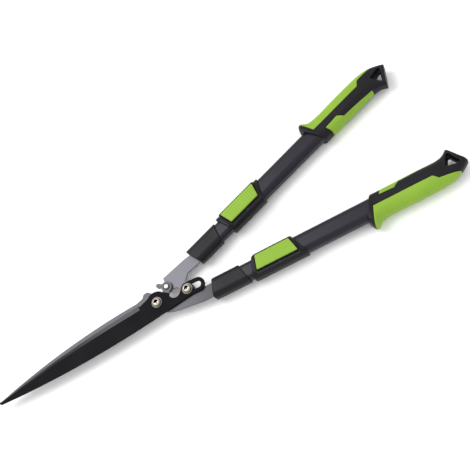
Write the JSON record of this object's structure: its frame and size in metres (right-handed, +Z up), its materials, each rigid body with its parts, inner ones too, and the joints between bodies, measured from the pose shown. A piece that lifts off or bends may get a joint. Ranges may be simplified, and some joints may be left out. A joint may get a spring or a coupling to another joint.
{
  "type": "hedge shears",
  "caption": "Telescopic hedge shears: overlapping straight blades, slotted lever drive, sliding oval handles with rocker locks and soft two-colour grips.",
  "frame": {"origin": "centre of the closed, retracted shears' bounding box, on the plane they lie on", "axes": "+Z up from that plane, normal to the blades; -X towards the blade tips, +X towards the grips along the handles' line of symmetry; +Y towards the handle of the moving blade"},
  "size_m": [0.6942, 0.2034, 0.0331],
  "materials": {
    "black_blade": "matte black non-stick coating",
    "grey_plate": "satin grey steel",
    "bright_steel": "bright nickel plate",
    "dark_steel": "blackened steel",
    "tube": "satin charcoal coating",
    "black_plastic": "matte black",
    "nylon": "natural nylon",
    "green_rubber": "matte lime green"
  },
  "bodies": {
    "fixed_arm": {"rear_blade": "grey_plate", "pivot_bolt": "bright_steel", "pivot_washer": "bright_steel", "pivot_nut": "dark_steel", "lever_rivet": "bright_steel", "lever_bush": "dark_steel", "lever_washer": "dark_steel", "lower_ferrule": "black_plastic", "lower_shank_plug": "nylon", "lower_cross_pins": "dark_steel", "lower_inner_tube": "tube", "lower_end_plug": "nylon"},
    "cutting_blade": {"front_blade": "black_blade"},
    "lever_arm": {"lever_plate": "grey_plate", "drive_bolt": "bright_steel", "drive_washer": "bright_steel", "drive_bush": "dark_steel", "drive_nut": "dark_steel", "upper_ferrule": "black_plastic", "upper_shank_plug": "nylon", "upper_cross_pins": "dark_steel", "upper_inner_tube": "tube", "upper_end_plug": "nylon"},
    "lower_handle": {"lower_outer_tube": "tube", "lower_lock_collar": "black_plastic", "lower_collar_screws": "dark_steel", "lower_rocker_pin": "bright_steel", "lower_lock_spring": "bright_steel", "lower_grip_core": "black_plastic", "lower_grip_outer_pad": "green_rubber", "lower_grip_inner_pad": "green_rubber", "lower_grip_screw": "dark_steel"},
    "upper_handle": {"upper_outer_tube": "tube", "upper_lock_collar": "black_plastic", "upper_collar_screws": "dark_steel", "upper_rocker_pin": "bright_steel", "upper_lock_spring": "bright_steel", "upper_grip_core": "black_plastic", "upper_grip_outer_pad": "green_rubber", "upper_grip_inner_pad": "green_rubber", "upper_grip_screw": "dark_steel"},
    "lower_rocker": {"lower_lock_rocker": "black_plastic", "lower_rocker_pad": "green_rubber"},
    "upper_rocker": {"upper_lock_rocker": "black_plastic", "upper_rocker_pad": "green_rubber"}
  },
  "joints": [
    {"name": "lever_swing", "type": "hinge", "parent": "fixed_arm", "child": "lever_arm", "pos_m": [-0.0636, 0.01675, 0.0178], "axis": [0, 0, 1], "range_deg": [0, 36]},
    {"name": "blade_swing", "type": "hinge", "parent": "fixed_arm", "child": "cutting_blade", "pos_m": [-0.0851, 0.00425, 0.0178], "axis": [0, 0, 1], "range_deg": [0, 21.25]},
    {"name": "lower_handle_slide", "type": "slide", "parent": "fixed_arm", "child": "lower_handle", "axis": [0.9848, -0.1736, 0], "range_m": [0, 0.165]},
    {"name": "upper_handle_slide", "type": "slide", "parent": "lever_arm", "child": "upper_handle", "axis": [0.9848, 0.1736, 0], "range_m": [0, 0.165]},
    {"name": "lower_rocker_press", "type": "hinge", "parent": "lower_handle", "child": "lower_rocker", "pos_m": [0.08472, -0.04437, 0.0279], "axis": [0.1736, 0.9848, 0], "range_deg": [-4, 5], "stiffness_Nm_per_rad": 1, "springref_deg": -5.73, "deforming": ["lower_lock_spring"]},
    {"name": "upper_rocker_press", "type": "hinge", "parent": "upper_handle", "child": "upper_rocker", "pos_m": [0.08472, 0.04437, 0.0279], "axis": [-0.1736, 0.9848, 0], "range_deg": [-4, 5], "stiffness_Nm_per_rad": 1, "springref_deg": -5.73, "deforming": ["upper_lock_spring"]}
  ],
  "couplings": [
    {"joint": "blade_swing", "follows": "lever_swing", "ratio": 0.59}
  ]
}
